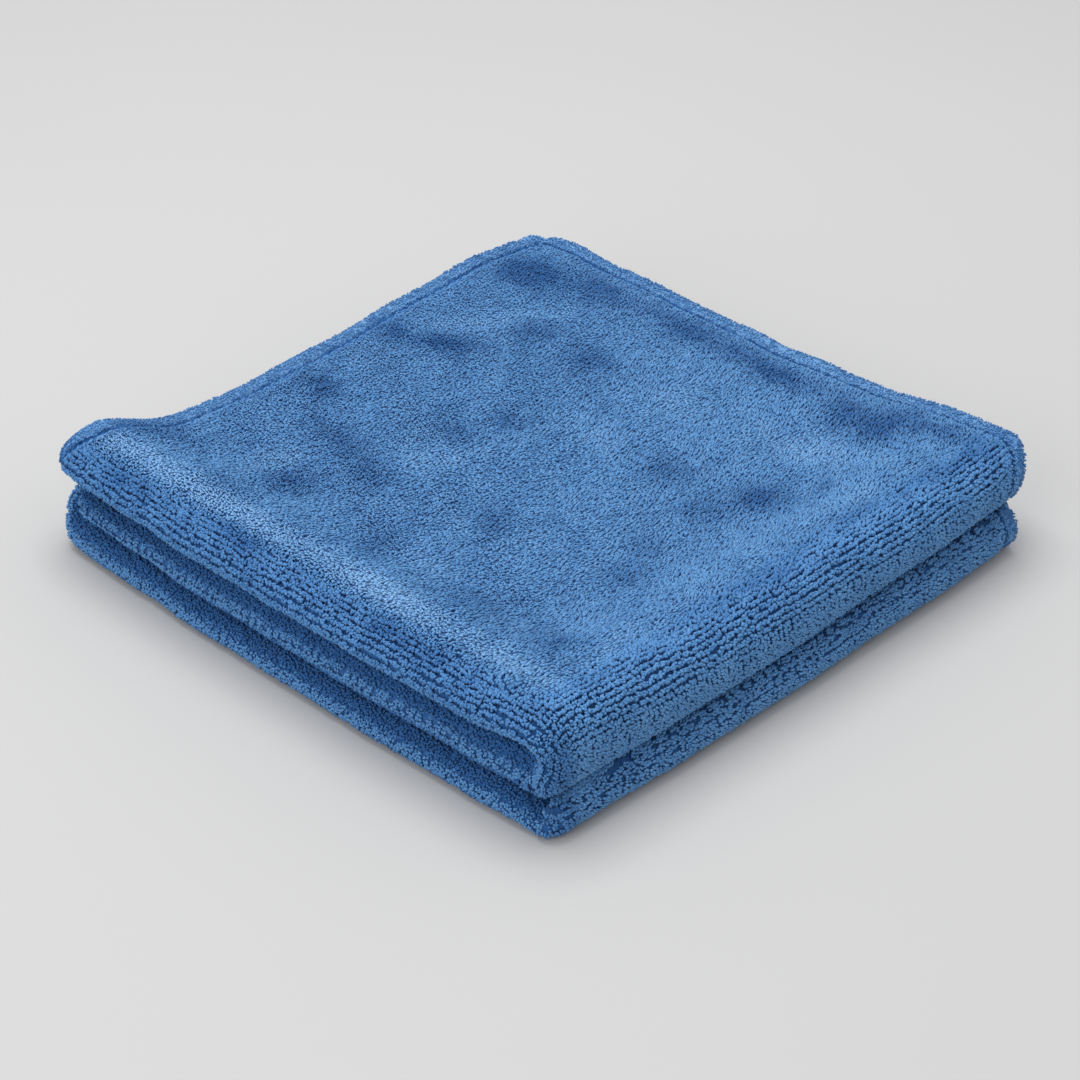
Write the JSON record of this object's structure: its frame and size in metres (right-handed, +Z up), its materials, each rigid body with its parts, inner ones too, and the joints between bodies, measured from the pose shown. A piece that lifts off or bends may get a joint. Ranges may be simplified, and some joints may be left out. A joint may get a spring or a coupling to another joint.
{
  "type": "microfibre cloth",
  "caption": "Blue plush microfibre cloth, folded back and forth into a soft square, with rounded folds at the front corner and hemmed edges at the back.",
  "frame": {"origin": "under the middle of the folded square, at the bottom of its bounding box", "axes": "+Z up from the surface the cloth lies on, +X towards the two folds on the near right side, +Y towards the hems on the far right side; the corner nearest the camera is at +X, -Y"},
  "size_m": [0.205, 0.2038, 0.0337],
  "materials": {
    "blue_plush": "deep soft pile, matt, with patches where the nap leans another way"
  },
  "bodies": {
    "root": {"cloth": "blue_plush"}
  },
  "joints": []
}
